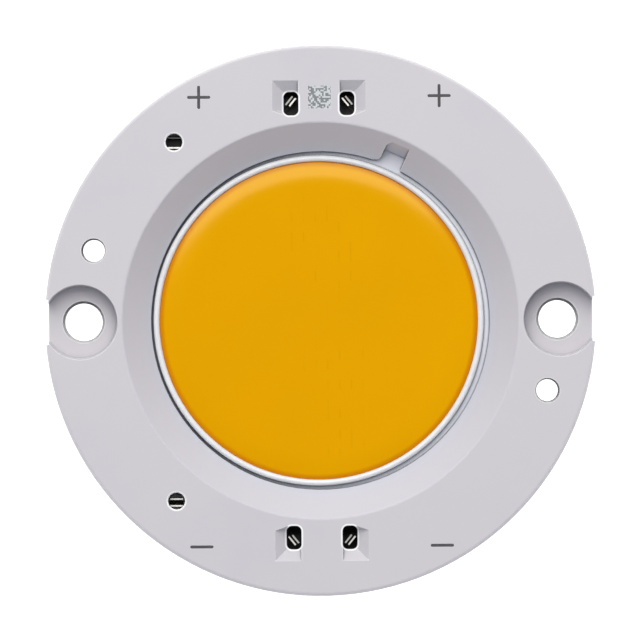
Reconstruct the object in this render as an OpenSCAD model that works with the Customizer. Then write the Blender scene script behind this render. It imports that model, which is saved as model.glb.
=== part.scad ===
// Round chip-on-board light-emitting module with push-in wire terminals.
// A metal core plate carries the white circuit layer, the chip array, the dam and
// the yellow phosphor disc. A white moulded cover closes the rim. Under its roof lie
// one black terminal block for each polarity, each with a flat contact rail and two
// stamped wire clips.
// Millimetres. +X runs through the two screw holes, +Y points to the positive side,
// +Z is the light direction. The origin is the middle of the thermal face.

/* [Envelope] */
// Outer radius of the moulded cover
cover_r = 25.12; // [25:0.02:25.2]
// Overall height from the thermal face to the cover's flat top
total_h = 5.0; // [4.95:0.05:5.2]
// Radius rounded onto the cover's outer top edge
rim_round = 0.35; // [0.2:0.05:0.5]
// Distance from the middle to the short flat at each screw seat
seat_flat_x = 24.8; // [24.7:0.05:24.9]

/* [Light emitting surface] */
// Radius of the phosphor disc where it meets the dam
emitter_r = 14.52; // [14.3:0.01:14.6]
// Outer radius of the dam
dam_r = 15.08; // [15.05:0.01:15.2]
// Height of the dam's crown above the thermal face
dam_top = 2.32; // [2.28:0.02:2.4]
// Height of the phosphor's flat middle above the thermal face
phosphor_top = 2.2; // [2.15:0.01:2.25]
// How far the phosphor's surface falls from its flat middle to the dam
roll_off = 0.25; // [0.15:0.01:0.3]
// Sideways offset of dam and phosphor inside the cover's opening
emitter_shift = -0.17; // [-0.2:0.01:0]
// Pitch of the light-emitting chips, left to right
die_pitch_x = 1.82; // [1.7:0.02:2]
// Pitch of the light-emitting chips, rail to rail
die_pitch_y = 1.62; // [1.5:0.02:1.8]
// Edge length of one chip
die_w = 0.92; // [0.7:0.02:1]
// Thickness of one chip
die_t = 0.15; // [0.12:0.01:0.2]

/* [Cover funnel] */
// Radius of the funnel's lip
lip_r = 15.45; // [15.4:0.01:15.5]
// Radius where the funnel meets the cover's flat top
funnel_r = 18.08; // [18:0.02:18.2]
// Height of the lip's upper edge
lip_top = 2.22; // [2.15:0.01:2.3]
// Wall thickness of the cover's roof
roof_t = 0.8; // [0.7:0.05:0.85]
// Direction of the temperature point notch, anticlockwise from +X
notch_angle = 65.5; // [63:0.5:68]
// Width of the temperature point notch
notch_w = 2.12; // [2:0.02:2.3]
// Radius of the notch's back wall at its foot
notch_back_r = 16.68; // [16.6:0.02:16.8]

/* [Fixing holes] */
// Distance from the middle to each screw hole
screw_x = 21.6; // [21.5:0.05:21.7]
// Screw hole radius in the metal plate
screw_hole_r = 1.7; // [1.65:0.05:1.75]
// Screw hole radius in the cover
screw_clear_r = 1.92; // [1.85:0.01:2]
// Radius of the screw head seat
seat_r = 3.4; // [3.3:0.05:3.5]
// How far the seat's centre lies outside the screw hole's centre
seat_shift = 0.3; // [0.2:0.05:0.4]
// Height of the seat's floor above the thermal face
seat_z = 2.85; // [2.8:0.05:3]
// Locating hole radius
pin_hole_r = 1; // [0.95:0.05:1.05]
// Distance from the middle to each locating hole
pin_circle_r = 21.64; // [21.5:0.02:21.7]
// Direction of the first locating hole, anticlockwise from +X
pin_angle = 162.5; // [160:0.5:165]

/* [Terminals] */
// Distance of each wire's axis from the middle line
wire_y = 20.3; // [20.25:0.05:20.35]
// Height of each wire's axis above the thermal face
wire_z = 3.05; // [3:0.01:3.08]
// Radius of the insulated wire's way in
port_r = 1.05; // [0.95:0.05:1.05]
// Radius of the bare conductor's way to the clip
strand_r = 0.65; // [0.6:0.05:0.7]
// Distance from the middle line to the middle of each release window
window_x = 2.55; // [2.5:0.05:2.6]
// Distance from the centre to the middle of each release window
window_y = 19.77; // [19.7:0.01:19.85]
// Width of a release window
window_w = 1.36; // [1.3:0.02:1.4]
// Length of a release window
window_l = 2.16; // [2.1:0.02:2.2]
// Corner radius of a release window
window_round = 0.5; // [0.4:0.05:0.6]
// How far each tool slope runs beyond its window
slope_run = 1.04; // [0.9:0.02:1.1]
// Depth of the tool slopes at the window
slope_d = 0.86; // [0.6:0.02:0.9]
// Sideways distance of the probe holes from the middle line
probe_x = 13.23; // [13.1:0.01:13.3]
// Distance of the probe holes along the polarity axis
probe_y = 16.35; // [16.3:0.01:16.4]
// Probe hole radius
probe_r = 0.77; // [0.7:0.01:0.8]
// Sheet thickness of the stamped clips
clip_t = 0.15; // [0.12:0.01:0.25]

/* [Marks] */
// Arm length of the polarity marks
mark_l = 2.12; // [2:0.02:2.2]
// Stroke width of the polarity marks
mark_w = 0.27; // [0.2:0.01:0.3]
// Distance of the polarity marks from the middle line
mark_x = 10.95; // [10.8:0.05:11.1]
// Edge length of the dot pattern field
patch_w = 2.06; // [1.9:0.02:2.2]

/* [Hidden] */
$fn = 96;

plate_r = 24.35;          // metal plate, inside the cover's skirt
plate_t = 1.5;
skirt_r = 24.42;          // inner radius of the skirt round the plate
skirt_z = 0.3;            // lower edge of the skirt
layer_t = 0.14;           // circuit layer on the plate
layer_z = plate_t + layer_t;
trace_z = plate_t + 0.05; // conductors are bedded inside the layer
trace_t = 0.05;
wall_t = 1.0;             // outer wall above the plate
roof_z = total_h - roof_t;
gap = 0.02;               // drawing gap between separate bodies
pad_t = 1.06;             // roof thickness round the release windows
pad_x = 4.7;
pad_y0 = 18.62;
pad_y1 = 22.3;
ink_t = 0.03;
block_z0 = layer_z + gap;
block_z1 = roof_z - 0.05;
block_in_r = 18.75;
block_out_r = cover_r - wall_t - 0.08;
block_y = 14.9;           // inner straight end faces of the terminal blocks
rail_z = 1.72;
rail_t = 0.25;
chamber_z = rail_z + rail_t;
clip_z = chamber_z;
clip_x0 = 1.35;           // clip chamber, nearest and farthest from the middle line
clip_x1 = 6.7;
chamber_y0 = 18.72;
chamber_y1 = 21.32;
stop_x = 8.9;             // the insulation stops here
tongue_h = 2.4;           // height of the probe tongues
tongue_w = 1.2;           // their width

function arc(cx, cy, r, a0, a1, n) = [for (i = [0:n]) let (a = a0 + (a1 - a0) * i / n) [cx + r * cos(a), cy + r * sin(a)]];

// ---------- shared plan shapes ----------
module sector(r0, r1, a0, a1) {
    m = (a0 + a1) / 2;
    intersection() {
        difference() {
            circle(r1);
            circle(r0);
        }
        polygon([[0, 0], 40 * [cos(a0), sin(a0)], 60 * [cos((a0 + m) / 2), sin((a0 + m) / 2)], 60 * [cos(m), sin(m)],
            60 * [cos((a1 + m) / 2), sin((a1 + m) / 2)], 40 * [cos(a1), sin(a1)]]);
    }
}

module round_slot(w, l, r) {
    union() {
        square([w - 2 * r, l], center = true);
        square([w, l - 2 * r], center = true);
        for (x = [-1, 1]) for (y = [-1, 1]) translate([x * (w / 2 - r), y * (l / 2 - r)]) circle(r);
    }
}

module at_pins() {
    for (a = [pin_angle, pin_angle + 180]) rotate([0, 0, a]) translate([pin_circle_r, 0, 0]) children();
}

module at_screws() {
    for (s = [-1, 1]) translate([s * screw_x, 0, 0]) children();
}

// ---------- metal core ----------
module base_plate() {
    color([0.78, 0.79, 0.8]) difference() {
        rotate_extrude() polygon([[0, 0], [plate_r - 0.12, 0], [plate_r, 0.12], [plate_r, plate_t], [0, plate_t]]);
        at_screws() translate([0, 0, -1]) cylinder(r = screw_hole_r, h = 4);
        at_pins() translate([0, 0, -1]) cylinder(r = pin_hole_r, h = 4);
    }
}

// Plan of one conductor: an arc under the dam, a neck and a pad for the rail's foot
module conductor_plan() {
    union() {
        translate([emitter_shift, 0]) sector(14.62, 15.05, 14, 166);
        translate([-1.1, 14.7]) square([2.2, 3.2]);
        translate([-2.4, 17.6]) square([4.8, 1.9]);
    }
}

module conductor() {
    translate([0, 0, trace_z]) linear_extrude(trace_t) conductor_plan();
}

// Bare places of one conductor: the solder pad and the bonding arc inside the dam
module bare_plan() {
    union() {
        translate([-2, 19.02]) square([4, 0.36]);
        translate([emitter_shift, 0]) sector(14.7, 14.8, 20, 160);
    }
}

module circuit_layer() {
    color([0.93, 0.94, 0.95]) difference() {
        translate([0, 0, plate_t]) cylinder(r = plate_r - 0.15, h = layer_t);
        at_screws() translate([0, 0, 1]) cylinder(r = screw_clear_r + 0.07, h = 2);
        at_pins() translate([0, 0, 1]) cylinder(r = pin_hole_r + 0.17, h = 2);
        conductor();
        mirror([0, 1, 0]) conductor();
        for (m = [0, 1]) mirror([0, m, 0]) translate([0, 0, trace_z + trace_t / 2]) linear_extrude(1) bare_plan();
    }
}

module anode_trace() {
    color([0.85, 0.55, 0.3]) conductor();
}

module cathode_trace() {
    color([0.85, 0.55, 0.3]) mirror([0, 1, 0]) conductor();
}

// ---------- light engine ----------
// Chip places: a square grid cut to a round field
function die_places() = [for (i = [-7:7]) for (j = [-8:8])
    let (x = i * die_pitch_x, y = j * die_pitch_y) if (x * x + y * y < 13.1 * 13.1) [x, y]];

module dies(extra) {
    translate([emitter_shift, 0, 0]) for (p = die_places())
        translate([p[0] - die_w / 2, p[1] - die_w / 2, layer_z + 0.001]) cube([die_w, die_w, die_t + extra]);
}

module led_dies() {
    color([0.35, 0.45, 0.75]) dies(0);
}

module dam_ring() {
    mid = (emitter_r + dam_r) / 2;
    half = (dam_r - emitter_r) / 2;
    crown = dam_top - layer_z;
    color([0.95, 0.96, 0.98]) translate([emitter_shift, 0, 0]) rotate_extrude()
        polygon(concat([[mid - half * 0.86, layer_z], [mid + half * 0.86, layer_z]],
            [for (i = [0:12]) let (a = -8 + 196 * i / 12) [mid + half * cos(a), dam_top - crown * 0.52 * (1 - sin(a))]]));
}

// The fill is poured flat and rolls off towards the dam
module phosphor_fill() {
    edge = emitter_r + 0.2;
    start = 12.2;
    color([0.9, 0.64, 0.05]) difference() {
        translate([emitter_shift, 0, 0]) rotate_extrude()
            polygon(concat([[0, layer_z], [edge, layer_z]],
                [for (i = [0:10]) let (r = edge - (edge - start) * i / 10) [r, phosphor_top - roll_off * pow((r - start) / (emitter_r - start), 2)]],
                [[0, phosphor_top]]));
        dies(0.02);
        dam_ring_space();
    }
}

// The space of the dam, a little oversize, so that the phosphor ends against it
module dam_ring_space() {
    mid = (emitter_r + dam_r) / 2;
    half = (dam_r - emitter_r) / 2 + 0.01;
    crown = dam_top - layer_z;
    translate([emitter_shift, 0, 0]) rotate_extrude()
        polygon(concat([[mid - half * 0.86, layer_z - 0.5], [mid + half + 1, layer_z - 0.5], [mid + half + 1, dam_top + 1], [mid, dam_top + 1]],
            [for (i = [6:12]) let (a = -8 + 196 * i / 12) [mid + half * cos(a), dam_top + 0.01 - crown * 0.52 * (1 - sin(a))]],
            [[mid - half * 0.86, layer_z]]));
}

// ---------- cover ----------
module shell() {
    e = 0.16;
    k = total_h - 0.14;
    rotate_extrude() polygon(concat(
        // skirt round the plate and outer wall
        [[skirt_r, skirt_z], [cover_r - 0.1, skirt_z], [cover_r, skirt_z + 0.1]],
        arc(cover_r - rim_round, total_h - rim_round, rim_round, 0, 90, 8),
        // top edge of the funnel
        arc(funnel_r + 0.12, total_h - 0.3, 0.3, 90, 134, 4),
        // lip
        arc(lip_r + e, lip_top - e, e, 130, 180, 4),
        [[lip_r, layer_z + 0.005], [lip_r + 1.15, layer_z + 0.005]],
        // hidden side of the funnel and the roof
        [[lip_r + 1.3, layer_z + 0.25], [block_in_r - 0.15, roof_z], [cover_r - wall_t, roof_z]],
        [[cover_r - wall_t, layer_z + 0.005], [skirt_r, layer_z + 0.005]]));
}

// Region of the cover's ring, used to trim bosses and ribs
module ring_space() {
    rotate_extrude() polygon([[lip_r + 1.2, layer_z + 0.005], [cover_r - 0.3, layer_z + 0.005],
        [cover_r - 0.3, total_h - 0.3], [funnel_r + 0.3, total_h - 0.3]]);
}

module ribs() {
    for (a = [22, 34, 146, 202, 214, 326]) rotate([0, 0, a]) translate([16.4, -0.4, layer_z + 0.005]) cube([8, 0.8, 3]);
}

// Head seat of a screw: a round pocket with a straight wall and a filleted foot, open
// to the rim
module seat() {
    f = 0.12;
    foot_r = seat_r - 0.02;
    rotate_extrude() polygon(concat([[0, seat_z]], arc(foot_r - f, seat_z + f, f, -90, -15, 5),
        [[seat_r, total_h - 0.06]], [[seat_r + 0.06, total_h + 0.01], [seat_r + 0.06, total_h + 1], [0, total_h + 1]]));
}

// Plan of the temperature point notch, drawn with the radius along +X
module notch_plan() {
    f = 0.5;
    difference() {
        union() {
            translate([14, -notch_w / 2]) square([6, notch_w]);
            translate([14, 0]) square([lip_r + f - 14, notch_w / 2 + f]);
        }
        translate([lip_r + f, notch_w / 2 + f]) circle(f);
        // cut-off corner at the back
        translate([notch_back_r + 0.35, notch_w / 2]) rotate(-35) translate([-0.5, 0]) square([3, 0.8]);
    }
}

module notch() {
    rotate([0, 0, notch_angle]) intersection() {
        translate([0, 0, layer_z - 0.5]) linear_extrude(6) notch_plan();
        translate([0, 4, 0]) rotate([90, 0, 0]) linear_extrude(8)
            polygon([[14, layer_z - 0.3], [notch_back_r, layer_z - 0.3], [notch_back_r, layer_z + 0.35],
                [notch_back_r + 1.05, total_h + 0.02], [notch_back_r + 1.05, total_h + 1], [14, total_h + 1]]);
    }
}

// Tool pocket of the window at +X, +Y: two slopes that fall to the window's outer
// sides, and an end wall that flares towards the window
module tool_pocket() {
    x0 = window_x - window_w / 2;
    x1 = window_x + window_w / 2;
    y0 = window_y - window_l / 2;
    y1 = window_y + window_l / 2;
    k = slope_d / slope_run;
    zf = total_h - slope_d;
    foot = y0 + 0.42;
    // the end wall's plane: its foot lies on the outer slope, its top edge swings out by flare
    flare = 0.36;
    n = cross([0, -flare, slope_d], [slope_run, 0, slope_d]);
    intersection() {
        translate([0, 30, 0]) rotate([90, 0, 0]) linear_extrude(30)
            polygon([[x0 + 0.02, zf], [x1, zf], [x1 + slope_run + 0.2, total_h + 0.2 * k], [x1 + slope_run + 0.2, total_h + 1], [x0 + 0.02, total_h + 1]]);
        rotate([90, 0, 90]) linear_extrude(30)
            polygon([[y0 - 0.2, zf], [y1, zf], [y1 + slope_run + 0.2, total_h + 0.2 * k], [y1 + slope_run + 0.2, total_h + 1], [y0 - 0.2, total_h + 1]]);
        union() {
            translate([x0, foot, zf - 1]) cube([x1 - x0, 9, 4]);
            intersection() {
                translate([x1 - 0.1, y0 - 0.3, zf - 1]) cube([3, 9, 4]);
                translate([x1, foot, zf]) rotate([0, 0, atan2(-n[0], n[1])]) rotate([asin(n[2] / norm(n)), 0, 0]) translate([-6, 0, -6]) cube([12, 12, 12]);
            }
        }
    }
}

module windows() {
    for (sx = [0, 1]) for (sy = [0, 1]) mirror([sx, 0, 0]) mirror([0, sy, 0]) {
        translate([window_x, window_y, roof_z - 0.5]) linear_extrude(3) round_slot(window_w, window_l, window_round);
        tool_pocket();
    }
}

module cover() {
    color([0.83, 0.83, 0.85]) difference() {
        union() {
            shell();
            intersection() {
                union() {
                    ribs();
                    for (m = [0, 1]) mirror([0, m, 0]) translate([-pad_x, pad_y0, total_h - pad_t]) cube([2 * pad_x, pad_y1 - pad_y0, 0.5]);
                    at_screws() cylinder(r = seat_r + 1.1, h = 6);
                    at_pins() cylinder(r = pin_hole_r + 1, h = 6);
                }
                ring_space();
            }
        }
        // screw seats and holes
        for (s = [-1, 1]) {
            translate([s * (screw_x + seat_shift), 0, 0]) seat();
            translate([s * screw_x, 0, -1]) cylinder(r = screw_clear_r, h = 8);
            translate([s > 0 ? seat_flat_x : -seat_flat_x - 2, -2.03, -1]) cube([2, 4.06, 8]);
        }
        at_pins() translate([0, 0, -1]) cylinder(r = pin_hole_r + 0.12, h = 8);
        // probe holes with a small lead-in
        for (s = [-1, 1]) translate([-probe_x, s * probe_y, 0]) {
            translate([0, 0, roof_z - 0.5]) cylinder(r = probe_r, h = 3);
            translate([0, 0, total_h - 0.1]) cylinder(r1 = probe_r, r2 = probe_r + 0.12, h = 0.12);
        }
        windows();
        notch();
        wire_ports(port_r);
        // shallow beds of the marks
        translate([0, 0, total_h - ink_t]) linear_extrude(1) marks_plan();
        translate([0, 0, total_h - ink_t]) linear_extrude(1) patch_plan();
    }
}

// The four round ways in through the cover's wall
module wire_ports(r) {
    for (s = [-1, 1]) for (m = [-1, 1]) translate([m > 0 ? stop_x : -stop_x - 12, s * wire_y, wire_z])
        rotate([0, 90, 0]) cylinder(r = r, h = 12);
}

// ---------- terminals, drawn for the positive side ----------
module block_plan() {
    intersection() {
        sector(block_in_r, block_out_r, 30, 150);
        translate([-30, block_y]) square([60, 15]);
    }
}

// Half of the chambers, for the clip at +X
module clip_chamber() {
    translate([clip_x0, chamber_y0, chamber_z]) cube([clip_x1 - clip_x0, chamber_y1 - chamber_y0, 3]);
}

module strand_way() {
    translate([clip_x1 - 0.5, wire_y, wire_z]) rotate([0, 90, 0]) cylinder(r = strand_r, h = 3);
    translate([stop_x - 0.8, wire_y, wire_z]) rotate([0, 90, 0]) cylinder(r1 = strand_r, r2 = port_r, h = 0.8);
}

// The strip from the clips to the probe hole, with its lug under the hole.
// tongue_a and tongue_b: where the lug's tongues stand, from the probe hole's middle
module rail_plan(extra, tongue_a, tongue_b) {
    union() {
        translate([-6.5 - extra, 18.85 - extra]) square([13 + 2 * extra, 1.0 + 2 * extra]);
        sector(19.9 - extra, 21.3 + extra, 104 - extra * 3, 127.5);
        translate([-probe_x - tongue_w / 2 - extra, probe_y + tongue_b - clip_t / 2 - extra])
            square([tongue_w + 2 * extra, tongue_a - tongue_b + clip_t + 2 * extra]);
    }
}

module terminal_block(tongue_a, tongue_b) {
    well = tongue_w / 2 + 0.06;
    union() {
        difference() {
            translate([0, 0, block_z0]) linear_extrude(block_z1 - block_z0) block_plan();
            for (m = [0, 1]) mirror([m, 0, 0]) {
                clip_chamber();
                strand_way();
            }
            for (m = [-1, 1]) translate([m > 0 ? stop_x : -stop_x - 12, wire_y, wire_z]) rotate([0, 90, 0]) cylinder(r = port_r, h = 12);
            // bed of the contact rail, open below
            translate([0, 0, 1]) linear_extrude(rail_z + rail_t - 1) rail_plan(0.06, tongue_a, tongue_b);
            // room for the thicker roof round the windows
            translate([-pad_x - 0.1, 15, total_h - pad_t - 0.05]) cube([2 * pad_x + 0.2, 8, 2]);
            // well round the probe tongues
            translate([-probe_x - well, probe_y + tongue_b - clip_t / 2 - 0.06, 1]) cube([2 * well, tongue_a - tongue_b + clip_t + 0.12, 5]);
        }
        // closed foot of the clip chambers under the windows, over the rail
        for (m = [0, 1]) mirror([m, 0, 0]) {
            translate([clip_x0 - 0.1, chamber_y0 - 0.1, chamber_z + 0.04]) cube([3.4 - clip_x0 + 0.1, chamber_y1 - chamber_y0 + 0.2, 0.2]);
            translate([clip_x0 - 0.1, 19.92, chamber_z - 0.3]) cube([3.4 - clip_x0 + 0.1, chamber_y1 - 19.92 + 0.1, 0.4]);
        }
        // rib between the tongues
        translate([-probe_x - well - 0.02, probe_y + tongue_b + clip_t / 2 + 0.05, rail_z + rail_t + 0.06]) cube([2 * well + 0.04, tongue_a - tongue_b - clip_t - 0.1, 0.6]);
    }
}

// At its probe end the rail is bent up on both sides of a lug
module contact_rail(tongue_a, tongue_b, height_a) {
    union() {
        translate([0, 0, rail_z]) linear_extrude(rail_t) rail_plan(0, tongue_a, tongue_b);
        // foot on the solder pad
        translate([-1.6, 19.06, trace_z + trace_t]) cube([3.2, 0.28, rail_z - trace_z - trace_t + 0.1]);
        translate([-probe_x - tongue_w / 2, probe_y + tongue_a - clip_t / 2, rail_z]) cube([tongue_w, clip_t, tongue_h * height_a]);
        translate([-probe_x - tongue_w / 2, probe_y + tongue_b - clip_t / 2, rail_z]) cube([tongue_w, clip_t, tongue_h]);
    }
}

// One stamped clip at +X: a trough of floor, inner wall and anvil wall, and two leaf
// tongues that spring from the inner wall and lean in the wire's direction of travel.
// outer_h and inner_h: heights of the outer and the inner tongue
module leaf(x, y, back, l, h) {
    translate([x, y, clip_z + 0.28]) rotate([0, 0, 129]) translate([-back, -clip_t / 2, 0]) union() {
        cube([back + 0.02, clip_t, 0.45]);
        translate([back, 0, 0]) cube([l, clip_t, h]);
    }
}

module wire_clip(outer_h, inner_h) {
    x0 = 3.45;
    w = clip_x1 - x0 - 0.08;
    y0 = chamber_y0 + 0.08;
    d = chamber_y1 - chamber_y0 - 0.16;
    union() {
        translate([x0, y0, clip_z]) cube([w, d, clip_t]);
        translate([x0, y0 + d - clip_t, clip_z]) cube([w, clip_t, 1.75]);
        translate([x0, y0, clip_z]) cube([w - 1.1, clip_t, 1.75]);
        translate([x0 + w - 1.3, y0, clip_z]) cube([1.3, clip_t, 0.7]);
        // strip along the inner wall that carries the second leaf
        translate([x0 - 0.65, y0, clip_z + 0.28]) cube([0.85, clip_t, 0.45]);
        leaf(3.04, 19.68, 1.04, 1.0, outer_h);
        leaf(2.70, 19.56, 0.9, 0.93, inner_h);
    }
}

module anode_terminal_block() { color([0.07, 0.07, 0.075]) terminal_block(0.4, -0.52); }
module cathode_terminal_block() { color([0.07, 0.07, 0.075]) mirror([0, 1, 0]) terminal_block(0.45, -0.17); }
module anode_contact_rail() { color([0.8, 0.79, 0.76]) contact_rail(0.4, -0.52, 0.75); }
module cathode_contact_rail() { color([0.8, 0.79, 0.76]) mirror([0, 1, 0]) contact_rail(0.45, -0.17, 0.9); }
module anode_clip_right() { color([0.84, 0.83, 0.8]) wire_clip(1.3, 1.62); }
module anode_clip_left() { color([0.84, 0.83, 0.8]) mirror([1, 0, 0]) wire_clip(1.3, 1.62); }
module cathode_clip_right() { color([0.84, 0.83, 0.8]) mirror([0, 1, 0]) wire_clip(1.52, 1.36); }
module cathode_clip_left() { color([0.84, 0.83, 0.8]) mirror([1, 0, 0]) mirror([0, 1, 0]) wire_clip(1.52, 1.36); }

// ---------- printed marks ----------
module stroke(l, w) {
    union() {
        square([l - w, w], center = true);
        for (s = [-1, 1]) translate([s * (l - w) / 2, 0]) circle(w / 2, $fn = 24);
    }
}

module marks_plan() {
    for (s = [-1, 1]) {
        translate([s * mark_x, 20.4]) union() {
            stroke(mark_l, mark_w);
            rotate(90) stroke(mark_l, mark_w);
        }
        translate([s * mark_x, -20.55]) stroke(mark_l, mark_w);
    }
}

module patch_plan() {
    translate([0.05, 20.35]) square(patch_w, center = true);
}

module polarity_marks() {
    color([0.29, 0.28, 0.3]) translate([0, 0, total_h - ink_t + 0.001]) linear_extrude(ink_t - 0.001) marks_plan();
}

module dot_pattern_field() {
    color([0.8, 0.82, 0.83]) translate([0, 0, total_h - ink_t + 0.001]) linear_extrude(ink_t - 0.001) patch_plan();
}

base_plate();
circuit_layer();
anode_trace();
cathode_trace();
led_dies();
dam_ring();
phosphor_fill();
cover();
anode_terminal_block();
cathode_terminal_block();
anode_contact_rail();
cathode_contact_rail();
anode_clip_left();
anode_clip_right();
cathode_clip_left();
cathode_clip_right();
polarity_marks();
dot_pattern_field();
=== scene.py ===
"""Looks of the round chip-on-board LED module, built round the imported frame."""
import math
import random

import bmesh
import bpy
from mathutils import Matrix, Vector


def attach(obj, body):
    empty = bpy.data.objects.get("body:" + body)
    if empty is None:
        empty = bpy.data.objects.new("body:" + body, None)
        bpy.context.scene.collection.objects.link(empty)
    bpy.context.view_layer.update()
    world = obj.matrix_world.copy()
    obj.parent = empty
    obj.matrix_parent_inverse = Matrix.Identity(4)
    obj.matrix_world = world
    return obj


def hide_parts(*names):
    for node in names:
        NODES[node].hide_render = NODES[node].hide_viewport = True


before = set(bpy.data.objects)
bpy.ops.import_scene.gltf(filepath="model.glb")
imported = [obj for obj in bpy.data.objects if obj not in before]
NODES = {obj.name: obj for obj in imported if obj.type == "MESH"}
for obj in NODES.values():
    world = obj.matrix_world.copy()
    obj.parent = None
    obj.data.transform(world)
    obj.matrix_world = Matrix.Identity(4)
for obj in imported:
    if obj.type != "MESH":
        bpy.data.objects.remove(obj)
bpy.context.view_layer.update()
MM = 0.001
scene = bpy.context.scene
# release windows: place, size and corner radius; probe holes: place and radius (mm)
WINDOW = (2.55, 19.77, 1.36, 2.16, 0.5)
PROBE = (13.23, 16.35, 0.77)
TENT, KEY, STRIP = 0.53, 3.4, 0.1


# ------------------------------------------------------------------ node helpers
def new_material(name):
    m = bpy.data.materials.new(name)
    m.use_nodes = True
    nt = m.node_tree
    for n in list(nt.nodes):
        nt.nodes.remove(n)
    out = nt.nodes.new("ShaderNodeOutputMaterial")
    b = nt.nodes.new("ShaderNodeBsdfPrincipled")
    nt.links.new(b.outputs[0], out.inputs[0])
    return m, nt, b


def node(nt, kind, **values):
    n = nt.nodes.new(kind)
    for k, v in values.items():
        setattr(n, k, v)
    return n


def link(nt, a, b):
    nt.links.new(a, b)


def coords(nt):
    """Object coordinates in millimetres, so pattern sizes read as real sizes."""
    tc = node(nt, "ShaderNodeTexCoord")
    sc = node(nt, "ShaderNodeVectorMath", operation="SCALE")
    sc.inputs["Scale"].default_value = 1000.0
    link(nt, tc.outputs["Object"], sc.inputs[0])
    return sc.outputs[0]


def noise(nt, co, per_mm, detail=2.0, rough=0.5, distort=0.0):
    n = node(nt, "ShaderNodeTexNoise")
    n.inputs["Scale"].default_value = per_mm
    n.inputs["Detail"].default_value = detail
    n.inputs["Roughness"].default_value = rough
    n.inputs["Distortion"].default_value = distort
    link(nt, co, n.inputs["Vector"])
    return n.outputs["Fac"]


def math_node(nt, op, a, b=None, c=None, clamp=False):
    n = node(nt, "ShaderNodeMath", operation=op)
    n.use_clamp = clamp
    for i, v in enumerate((a, b, c)):
        if v is None:
            continue
        if isinstance(v, (int, float)):
            n.inputs[i].default_value = v
        else:
            link(nt, v, n.inputs[i])
    return n.outputs[0]


def ramp(nt, fac, stops):
    n = node(nt, "ShaderNodeValToRGB")
    cr = n.color_ramp
    while len(cr.elements) < len(stops):
        cr.elements.new(0.5)
    for e, (p, col) in zip(cr.elements, stops):
        e.position = p
        e.color = (*col, 1.0)
    link(nt, fac, n.inputs[0])
    return n.outputs[0]


def mix(nt, fac, a, b):
    n = node(nt, "ShaderNodeMix", data_type="RGBA")
    n.clamp_factor = True
    if isinstance(fac, (int, float)):
        n.inputs[0].default_value = fac
    else:
        link(nt, fac, n.inputs[0])
    for i, v in ((6, a), (7, b)):
        if isinstance(v, tuple):
            n.inputs[i].default_value = (*v, 1.0)
        else:
            link(nt, v, n.inputs[i])
    return n.outputs[2]


def map_range(nt, v, a, b, c, d, smooth=True):
    n = node(nt, "ShaderNodeMapRange")
    n.interpolation_type = "SMOOTHSTEP" if smooth else "LINEAR"
    n.clamp = True
    link(nt, v, n.inputs[0])
    for i, x in enumerate((a, b, c, d)):
        n.inputs[i + 1].default_value = x
    return n.outputs[0]


def bump(nt, height, distance, strength=1.0, normal=None):
    n = node(nt, "ShaderNodeBump")
    n.inputs["Strength"].default_value = strength
    n.inputs["Distance"].default_value = distance
    link(nt, height, n.inputs["Height"])
    if normal is not None:
        link(nt, normal, n.inputs["Normal"])
    return n.outputs[0]


def radius_of(nt, co, cx=0.0, cy=0.0):
    """Distance in mm from the axis through (cx, cy)."""
    s = node(nt, "ShaderNodeSeparateXYZ")
    link(nt, co, s.inputs[0])
    x = math_node(nt, "SUBTRACT", s.outputs[0], cx)
    y = math_node(nt, "SUBTRACT", s.outputs[1], cy)
    return math_node(nt, "SQRT", math_node(nt, "ADD", math_node(nt, "MULTIPLY", x, x), math_node(nt, "MULTIPLY", y, y)))


def crevice_shade(nt, distance_mm, lo, hi):
    """1 in the open, 0 deep in a gap: where painted shade goes."""
    ao = node(nt, "ShaderNodeAmbientOcclusion")
    ao.samples = 8
    ao.inputs["Distance"].default_value = distance_mm * MM
    return map_range(nt, ao.outputs["AO"], lo, hi, 0.0, 1.0)


def set_material(obj, m):
    if not obj.material_slots:
        obj.data.materials.append(m)
    for s in obj.material_slots:
        s.material = m


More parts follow.
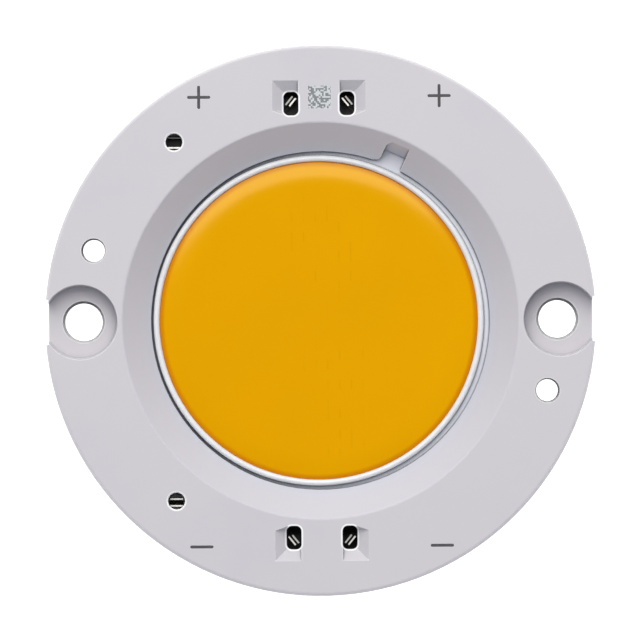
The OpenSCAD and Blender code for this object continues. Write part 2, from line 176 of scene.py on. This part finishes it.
# ------------------------------------------------------------------ materials
def cover_material():
    m, nt, b = new_material("cover_plastic_look")
    co = coords(nt)
    broad = noise(nt, co, 0.11, 2.0, 0.5)
    mid = noise(nt, co, 0.9, 3.0, 0.55)
    fine = noise(nt, co, 9.0, 3.0, 0.6)
    tone = ramp(nt, broad, [(0.3, (0.600, 0.584, 0.620)), (0.7, (0.628, 0.604, 0.634))])
    tone = mix(nt, map_range(nt, mid, 0.35, 0.7, 0.0, 0.35), tone, (0.612, 0.592, 0.625))
    # painted cool tint on the funnel, to cancel the warm light the phosphor throws onto it
    painted_funnel_tint = map_range(nt, radius_of(nt, co), 18.0, 18.12, 0.9, 0.0)
    tone = mix(nt, painted_funnel_tint, tone, (0.612, 0.616, 0.680))
    # painted shade in the gaps: a wide soft one and a fine dark line at every inner corner
    tone = mix(nt, crevice_shade(nt, 1.3, 0.3, 0.72), (0.42, 0.42, 0.45), tone)
    tone = mix(nt, crevice_shade(nt, 0.3, 0.48, 0.84), (0.08, 0.08, 0.09), tone)
    # painted highlight on the moulded edges: every sharp one, and a broader painted bright ring
    # round the release windows and the probe holes
    bev = node(nt, "ShaderNodeBevel")
    bev.samples = 6
    bev.inputs["Radius"].default_value = 0.2 * MM
    geo = node(nt, "ShaderNodeNewGeometry")
    dot = node(nt, "ShaderNodeVectorMath", operation="DOT_PRODUCT")
    link(nt, bev.outputs[0], dot.inputs[0])
    link(nt, geo.outputs["Normal"], dot.inputs[1])
    edge_highlight = map_range(nt, dot.outputs["Value"], 0.955, 0.84, 0.0, 0.9)
    xyz = node(nt, "ShaderNodeSeparateXYZ")
    link(nt, co, xyz.inputs[0])
    ax = math_node(nt, "ABSOLUTE", xyz.outputs[0])
    ay = math_node(nt, "ABSOLUTE", xyz.outputs[1])
    qx = math_node(nt, "SUBTRACT", math_node(nt, "ABSOLUTE", math_node(nt, "SUBTRACT", ax, WINDOW[0])), WINDOW[2] / 2 - WINDOW[4])
    qy = math_node(nt, "SUBTRACT", math_node(nt, "ABSOLUTE", math_node(nt, "SUBTRACT", ay, WINDOW[1])), WINDOW[3] / 2 - WINDOW[4])
    px, py = math_node(nt, "MAXIMUM", qx, 0.0), math_node(nt, "MAXIMUM", qy, 0.0)
    d_win = math_node(nt, "SQRT", math_node(nt, "ADD", math_node(nt, "MULTIPLY", px, px), math_node(nt, "MULTIPLY", py, py)))
    hx = math_node(nt, "ADD", xyz.outputs[0], PROBE[0])
    hy = math_node(nt, "SUBTRACT", ay, PROBE[1])
    d_hole = math_node(nt, "SQRT", math_node(nt, "ADD", math_node(nt, "MULTIPLY", hx, hx), math_node(nt, "MULTIPLY", hy, hy)))
    halo_highlight = math_node(nt, "MAXIMUM",
                     map_range(nt, d_win, WINDOW[4] + 0.10, WINDOW[4] + 0.20, 1.0, 0.0),
                     map_range(nt, d_hole, PROBE[2] + 0.09, PROBE[2] + 0.19, 1.0, 0.0))
    halo_highlight = math_node(nt, "MULTIPLY", halo_highlight, map_range(nt, xyz.outputs[2], 4.05, 4.12, 0.0, 1.0))
    # painted highlight mixed into the plastic's colour
    col = mix(nt, math_node(nt, "MAXIMUM", edge_highlight, halo_highlight), tone, (0.95, 0.95, 0.96))
    link(nt, col, b.inputs["Base Color"])
    rough = map_range(nt, fine, 0.3, 0.75, 0.46, 0.60, smooth=False)
    link(nt, rough, b.inputs["Roughness"])
    b.inputs["Specular IOR Level"].default_value = 0.42
    small = node(nt, "ShaderNodeBevel")
    small.samples = 4
    small.inputs["Radius"].default_value = 0.06 * MM
    nrm = bump(nt, fine, 0.004 * MM, 0.55, small.outputs[0])
    link(nt, nrm, b.inputs["Normal"])
    return m


def dam_material():
    m, nt, b = new_material("dam_silicone_look")
    co = coords(nt)
    n1 = noise(nt, co, 0.8, 2.0)
    n2 = noise(nt, co, 6.0, 2.0)
    link(nt, ramp(nt, n1, [(0.3, (0.77, 0.78, 0.80)), (0.7, (0.84, 0.85, 0.865))]), b.inputs["Base Color"])
    link(nt, map_range(nt, n2, 0.3, 0.7, 0.26, 0.36, smooth=False), b.inputs["Roughness"])
    b.inputs["Specular IOR Level"].default_value = 0.5
    link(nt, bump(nt, n1, 0.02 * MM, 0.4), b.inputs["Normal"])
    b.inputs["Subsurface Weight"].default_value = 0.15
    b.inputs["Subsurface Radius"].default_value = (0.0004, 0.0003, 0.00025)
    b.inputs["Subsurface Scale"].default_value = 1.0
    return m


def phosphor_material(cx):
    m, nt, b = new_material("phosphor_look")
    co = coords(nt)
    r = radius_of(nt, co, cx, 0.0)
    grain = noise(nt, co, 22.0, 3.0, 0.6)
    cloud = noise(nt, co, 0.12, 2.0)
    base = ramp(nt, cloud, [(0.3, (0.790, 0.372, 0.0007)), (0.7, (0.815, 0.388, 0.0006))])
    base = mix(nt, map_range(nt, grain, 0.3, 0.75, 0.0, 0.2), base, (0.72, 0.32, 0.0006))
    # faint upright ticks over the columns of chips
    s = node(nt, "ShaderNodeSeparateXYZ")
    link(nt, co, s.inputs[0])
    u = math_node(nt, "DIVIDE", math_node(nt, "ADD", s.outputs[0], 0.42), 1.07)
    off = math_node(nt, "ABSOLUTE", math_node(nt, "SUBTRACT", u, math_node(nt, "ROUND", u)))
    line = map_range(nt, off, 0.035, 0.085, 1.0, 0.0)
    cell = node(nt, "ShaderNodeCombineXYZ")
    link(nt, math_node(nt, "ROUND", u), cell.inputs[0])
    link(nt, math_node(nt, "FLOOR", math_node(nt, "DIVIDE", s.outputs[1], 0.9)), cell.inputs[1])
    wn = node(nt, "ShaderNodeTexWhiteNoise", noise_dimensions="2D")
    link(nt, cell.outputs[0], wn.inputs["Vector"])
    patchy = noise(nt, co, 0.16, 2.0, 0.6)
    tick = math_node(nt, "MULTIPLY", line, math_node(nt, "GREATER_THAN", wn.outputs["Value"], 0.62))
    tick = math_node(nt, "MULTIPLY", tick, map_range(nt, patchy, 0.42, 0.62, 0.0, 0.17))
    away = math_node(nt, "ABSOLUTE", math_node(nt, "SUBTRACT", s.outputs[0], 0.5))
    tick = math_node(nt, "MULTIPLY", tick, map_range(nt, away, 2.6, 4.2, 1.0, 0.0))
    tick = math_node(nt, "MULTIPLY", tick, map_range(nt, r, 12.0, 13.0, 1.0, 0.0))
    base = mix(nt, tick, base, (0.55, 0.22, 0.0006))
    # painted shade: the fill darkens towards the dam, where the bead shades its edge
    rim_shade = map_range(nt, r, 13.95, 14.4, 0.0, 0.85)
    col = mix(nt, rim_shade, base, (0.64, 0.20, 0.0008))
    link(nt, col, b.inputs["Base Color"])
    link(nt, map_range(nt, grain, 0.3, 0.7, 0.12, 0.18, smooth=False), b.inputs["Roughness"])
    b.inputs["Specular IOR Level"].default_value = 0.38
    b.inputs["Specular Tint"].default_value = (1.0, 0.84, 0.42, 1.0)
    link(nt, bump(nt, grain, 0.002 * MM, 0.4), b.inputs["Normal"])
    return m


def mask_material():
    m, nt, b = new_material("solder_mask_look")
    co = coords(nt)
    n1 = noise(nt, co, 0.7, 2.0)
    n2 = noise(nt, co, 14.0, 2.0)
    tone = ramp(nt, n1, [(0.3, (0.77, 0.79, 0.86)), (0.7, (0.82, 0.83, 0.90))])
    # painted shade: dark lines in the gaps where the cover and the bead meet the board
    tone = mix(nt, crevice_shade(nt, 0.36, 0.42, 0.8), (0.07, 0.072, 0.085), tone)
    link(nt, tone, b.inputs["Base Color"])
    link(nt, map_range(nt, n2, 0.3, 0.7, 0.25, 0.38, smooth=False), b.inputs["Roughness"])
    link(nt, bump(nt, n2, 0.003 * MM, 0.4), b.inputs["Normal"])
    return m


def metal_material(name, dark, light, rough, scale=(60.0, 1.2, 1.2), amount=0.5):
    """Rolled sheet: long fine grain along one direction."""
    m, nt, b = new_material(name)
    co = coords(nt)
    mp = node(nt, "ShaderNodeMapping")
    mp.inputs["Scale"].default_value = scale
    link(nt, co, mp.inputs["Vector"])
    g = noise(nt, mp.outputs[0], 1.0, 3.0, 0.6)
    c = noise(nt, co, 0.5, 2.0)
    col = mix(nt, map_range(nt, g, 0.3, 0.7, 0.0, 1.0), dark, light)
    col = mix(nt, map_range(nt, c, 0.4, 0.75, 0.0, 0.25), col, dark)
    link(nt, col, b.inputs["Base Color"])
    b.inputs["Metallic"].default_value = 1.0
    link(nt, map_range(nt, g, 0.25, 0.75, rough[0], rough[1], smooth=False), b.inputs["Roughness"])
    link(nt, bump(nt, g, 0.002 * MM, amount), b.inputs["Normal"])
    return m


def contact_material():
    """Tinned spring sheet, with painted light: painted highlight on the high parts under the openings, painted shade
    low down deep in the block.
    """
    m, nt, b = new_material("contact_metal_look")
    co = coords(nt)
    s = node(nt, "ShaderNodeSeparateXYZ")
    link(nt, co, s.inputs[0])
    c = noise(nt, co, 3.0, 2.0)
    f = noise(nt, co, 14.0, 2.0)
    # painted light by height: lit colour near the top, painted shade lower down
    height_light = map_range(nt, s.outputs[2], 3.2, 3.85, 0.0, 1.0)
    highlit_tin = mix(nt, c, (0.80, 0.78, 0.74), (0.94, 0.92, 0.88))
    shaded_tin = mix(nt, c, (0.035, 0.034, 0.033), (0.07, 0.066, 0.062))
    link(nt, mix(nt, height_light, shaded_tin, highlit_tin), b.inputs["Base Color"])
    b.inputs["Metallic"].default_value = 1.0
    link(nt, map_range(nt, f, 0.3, 0.7, 0.42, 0.58, smooth=False), b.inputs["Roughness"])
    link(nt, bump(nt, f, 0.003 * MM, 0.4), b.inputs["Normal"])
    return m


def plain_plastic(name, dark, light, rough):
    m, nt, b = new_material(name)
    co = coords(nt)
    n1 = noise(nt, co, 1.3, 2.0)
    n2 = noise(nt, co, 16.0, 2.0)
    link(nt, ramp(nt, n1, [(0.3, dark), (0.7, light)]), b.inputs["Base Color"])
    link(nt, map_range(nt, n2, 0.3, 0.7, rough[0], rough[1], smooth=False), b.inputs["Roughness"])
    link(nt, bump(nt, n2, 0.003 * MM, 0.5), b.inputs["Normal"])
    return m


def dot_field_material():
    """A made-up scatter of small square dots that stands for nothing."""
    m, nt, b = new_material("dot_field_look")
    co = coords(nt)
    snap = node(nt, "ShaderNodeVectorMath", operation="SNAP")
    link(nt, co, snap.inputs[0])
    snap.inputs[1].default_value = (0.147, 0.147, 50.0)
    wn = node(nt, "ShaderNodeTexWhiteNoise", noise_dimensions="2D")
    link(nt, snap.outputs[0], wn.inputs["Vector"])
    on = math_node(nt, "GREATER_THAN", wn.outputs["Value"], 0.46)
    soft = noise(nt, co, 5.0, 2.0)
    ink = mix(nt, soft, (0.15, 0.155, 0.165), (0.30, 0.31, 0.32))
    ground = ramp(nt, soft, [(0.3, (0.58, 0.62, 0.63)), (0.7, (0.63, 0.66, 0.67))])
    link(nt, mix(nt, on, ground, ink), b.inputs["Base Color"])
    link(nt, map_range(nt, soft, 0.3, 0.7, 0.5, 0.62, smooth=False), b.inputs["Roughness"])
    return m


# ------------------------------------------------------------------ dam and phosphor meshes
SHIFT = -0.17


def boxes_of(node_name):
    """Corners of every separate solid in a CAD node, in mm."""
    me = NODES[node_name].data
    bm = bmesh.new()
    bm.from_mesh(me)
    bmesh.ops.remove_doubles(bm, verts=bm.verts[:], dist=1e-7)
    seen, out = set(), []
    for v in bm.verts:
        if v.index in seen:
            continue
        stack, grp = [v], []
        seen.add(v.index)
        while stack:
            w = stack.pop()
            grp.append(w.co)
            for e in w.link_edges:
                o = e.other_vert(w)
                if o.index not in seen:
                    seen.add(o.index)
                    stack.append(o)
        out.append([min(c[i] for c in grp) / MM for i in range(3)] + [max(c[i] for c in grp) / MM for i in range(3)])
    bm.free()
    return out


def mesh_object(name, bm):
    me = bpy.data.meshes.new(name)
    bm.to_mesh(me)
    bm.free()
    o = bpy.data.objects.new(name, me)
    scene.collection.objects.link(o)
    return o


def revolve(name, profile, steps, cx, closed=False, wobble=None):
    """Turns a profile of (radius, z) in mm round the vertical axis through (cx, 0)."""
    bm = bmesh.new()
    rings = []
    for k in range(steps):
        a = 2 * math.pi * k / steps
        halo_highlight = []
        for i, (r, z) in enumerate(profile):
            if wobble:
                r, z = wobble(a, r, z)
            halo_highlight.append(None if r < 1e-6 else bm.verts.new(((cx + r * math.cos(a)) * MM, r * math.sin(a) * MM, z * MM)))
        rings.append(halo_highlight)
    poles = {i: bm.verts.new((cx * MM, 0.0, z * MM)) for i, (r, z) in enumerate(profile) if r < 1e-6}
    n = len(profile)
    for k in range(steps):
        p, q = rings[k], rings[(k + 1) % steps]
        for i in range(n if closed else n - 1):
            j = (i + 1) % n
            quad = [p[i] or poles[i], p[j] or poles[j], q[j] or poles[j], q[i] or poles[i]]
            face = []
            for v in quad:
                if v not in face:
                    face.append(v)
            if len(face) > 2:
                bm.faces.new(face)
    bmesh.ops.recalc_face_normals(bm, faces=bm.faces[:])
    return mesh_object(name, bm)


def shade(o, degrees):
    for poly in o.data.polygons:
        poly.use_smooth = True
    o.data.set_sharp_from_angle(angle=math.radians(degrees))


def bake_modifiers(o):
    dg = bpy.context.evaluated_depsgraph_get()
    me = bpy.data.meshes.new_from_object(o.evaluated_get(dg))
    o.modifiers.clear()
    o.data = me


LAYER_Z, TOP_Z, DAM_Z = 1.64, 2.2, 2.32
IN_R, OUT_R = 14.52, 15.08


def dam_wobble(a, r, z):
    """The bead is laid by a needle: its crown breathes a little, and it is a touch
    higher where the start and the end of the bead meet."""
    t = (z - LAYER_Z) / (DAM_Z - LAYER_Z)
    low = 0.010 * (1 + math.sin(3 * a + 0.7)) + 0.006 * (1 + math.sin(11 * a + 2.1)) + 0.003 * (1 + math.sin(29 * a))
    seam = math.exp(-((a - math.radians(318)) / 0.05) ** 2)
    return r, z - t * low * (1 - seam)


mid, half = (IN_R + OUT_R) / 2, (OUT_R - IN_R) / 2
crown = DAM_Z - LAYER_Z
dam_profile = [(mid - half * 0.86, LAYER_Z), (mid + half * 0.86, LAYER_Z)]
for i in range(25):
    t = math.radians(-8 + 196 * i / 24)
    dam_profile.append((mid + half * math.cos(t) * 0.995, DAM_Z - crown * 0.52 * (1 - math.sin(t))))
dam = revolve("dam_bead", dam_profile, 360, SHIFT, closed=True, wobble=dam_wobble)
shade(dam, 60)
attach(dam, "root")
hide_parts("dam_ring")


def fill_z(r):
    """Height of the fill's surface: flat, then rolling off towards the dam."""
    return TOP_Z - 0.25 * max(0.0, (r - 12.2) / (IN_R - 12.2)) ** 2


# inner flank of the bead, kept a hair away from it, up to where the fill's skin meets it
flank = []
for i in range(25):
    t = math.radians(188 - 98 * i / 24)
    flank.append((mid + (half + 0.008) * math.cos(t), DAM_Z - crown * 0.52 * (1 - math.sin(t))))
cut = [(r, z) for r, z in flank if z < fill_z(r) - 0.004]
fill_profile = [(0.0, LAYER_Z + 0.001), (flank[0][0] - 0.004, LAYER_Z + 0.001)] + cut
edge_r = cut[-1][0] + 0.002
skin = [edge_r - 0.01] + [14.5 - 2.4 * (i / 22) for i in range(23) if 14.5 - 2.4 * (i / 22) < edge_r - 0.02]
skin += [11.5, 10.0, 8.0, 6.0, 4.0, 2.0, 0.0]
fill_profile += [(r, fill_z(r)) for r in skin]
fill = revolve("phosphor_skin", fill_profile, 256, SHIFT)

# pockets round the chips
bm = bmesh.new()
for x0, y0, z0, x1, y1, z1 in boxes_of("led_dies"):
    c = bmesh.ops.create_cube(bm, size=1.0)
    for v in c["verts"]:
        v.co = Vector(((x0 + x1) / 2 + v.co.x * (x1 - x0 + 0.02), (y0 + y1) / 2 + v.co.y * (y1 - y0 + 0.02), (v.co.z + 0.5) * (z1 + 0.02 - 1.2) + 1.2)) * MM
pocket = mesh_object("pocket_tool", bm)
md = fill.modifiers.new("pockets", "BOOLEAN")
md.operation = "DIFFERENCE"
md.solver = "EXACT"
md.object = pocket
bake_modifiers(fill)
bpy.data.objects.remove(pocket)
shade(fill, 50)
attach(fill, "root")
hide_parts("phosphor_fill")

cover_look = cover_material()
set_material(NODES["cover"], cover_look)
set_material(dam, dam_material())
set_material(fill, phosphor_material(SHIFT))
set_material(NODES["circuit_layer"], mask_material())
alu = metal_material("metal_core_look", (0.60, 0.61, 0.62), (0.78, 0.78, 0.79), (0.24, 0.42), (0.9, 30.0, 30.0))
set_material(NODES["base_plate"], alu)
tin = contact_material()
copper = metal_material("copper_look", (0.62, 0.30, 0.17), (0.84, 0.50, 0.32), (0.25, 0.4), (2.0, 20.0, 20.0))
black = plain_plastic("block_plastic_look", (0.010, 0.010, 0.011), (0.022, 0.022, 0.024), (0.42, 0.6))
chip = plain_plastic("chip_look", (0.20, 0.27, 0.42), (0.26, 0.33, 0.50), (0.12, 0.25))
ink = plain_plastic("mark_ink_look", (0.058, 0.055, 0.062), (0.085, 0.080, 0.090), (0.45, 0.6))
for n in ("anode_contact_rail", "cathode_contact_rail", "anode_clip_left", "anode_clip_right", "cathode_clip_left", "cathode_clip_right"):
    set_material(NODES[n], tin)
for n in ("anode_trace", "cathode_trace"):
    set_material(NODES[n], copper)
for n in ("anode_terminal_block", "cathode_terminal_block"):
    set_material(NODES[n], black)
set_material(NODES["led_dies"], chip)
set_material(NODES["polarity_marks"], ink)
set_material(NODES["dot_pattern_field"], dot_field_material())


# ------------------------------------------------------------------ stage, light and camera
def plane(name, size, z, material):
    me = bpy.data.meshes.new(name)
    s = size / 2
    me.from_pydata([(-s, -s, z), (s, -s, z), (s, s, z), (-s, s, z)], [], [(0, 1, 2, 3)])
    o = bpy.data.objects.new(name, me)
    scene.collection.objects.link(o)
    me.materials.append(material)
    return o


floor_m, nt, b = new_material("floor_look")
b.inputs["Base Color"].default_value = (0.93, 0.93, 0.93, 1.0)
b.inputs["Roughness"].default_value = 0.9
b.inputs["Emission Color"].default_value = (1.0, 1.0, 1.0, 1.0)
b.inputs["Emission Strength"].default_value = 1.0
plane("floor", 4.0, -0.00002, floor_m)

# an even pale tent with a dark round opening overhead, where the camera looks through
world = bpy.data.worlds.new("studio")
scene.world = world
world.use_nodes = True
wt = world.node_tree
bg = wt.nodes["Background"]
wc = node(wt, "ShaderNodeTexCoord")
sep = node(wt, "ShaderNodeSeparateXYZ")
link(wt, wc.outputs["Generated"], sep.inputs[0])
tent = map_range(wt, sep.outputs[2], math.cos(math.radians(22)), math.cos(math.radians(30)), 0.0, 1.0)
link(wt, mix(wt, tent, (0.0, 0.0, 0.0), (0.955, 0.985, 1.05)), bg.inputs[0])
bg.inputs[1].default_value = TENT


def area(name, azimuth, elevation, dist, size_x, size_y, watts, color=(1.0, 1.0, 1.0)):
    """A soft box that looks at the object. Azimuth runs anticlockwise from +X."""
    a, e = math.radians(azimuth), math.radians(elevation)
    d = Vector((math.cos(a) * math.cos(e), math.sin(a) * math.cos(e), math.sin(e)))
    li = bpy.data.lights.new(name, "AREA")
    li.shape = "RECTANGLE"
    li.size, li.size_y = size_x, size_y
    li.energy = watts
    li.color = color
    o = bpy.data.objects.new(name, li)
    o.location = d * dist
    o.rotation_mode = "QUATERNION"
    o.rotation_quaternion = (-d).to_track_quat("-Z", "Y")
    scene.collection.objects.link(o)
    return o


area("key", 97, 54, 0.62, 0.45, 0.56, KEY, (1.0, 0.985, 0.955))
area("strip", 97, 75, 0.9, 0.5, 0.16, STRIP)

scene.view_settings.view_transform = "Standard"
scene.view_settings.look = "None"
scene.view_settings.exposure = 0.0
scene.view_settings.gamma = 1.0

# the picture is 640 px wide and the cover's top shows at 10.98 px a millimetre
PX_PER_MM = 10.98
DIST = 1.2
cam = bpy.data.cameras.new("camera")
cam.sensor_width = 36.0
cam.lens = 36.0 * DIST / (640.0 / PX_PER_MM * MM)
cam.clip_start, cam.clip_end = 0.05, 10.0
cam.dof.use_dof = False
cam_o = bpy.data.objects.new("camera", cam)
cam_o.location = (-0.5 / PX_PER_MM * MM, 0.5 / PX_PER_MM * MM, 0.005 + DIST)
cam_o.rotation_euler = (0.0, 0.0, math.radians(-0.42))
scene.collection.objects.link(cam_o)
scene.camera = cam_o
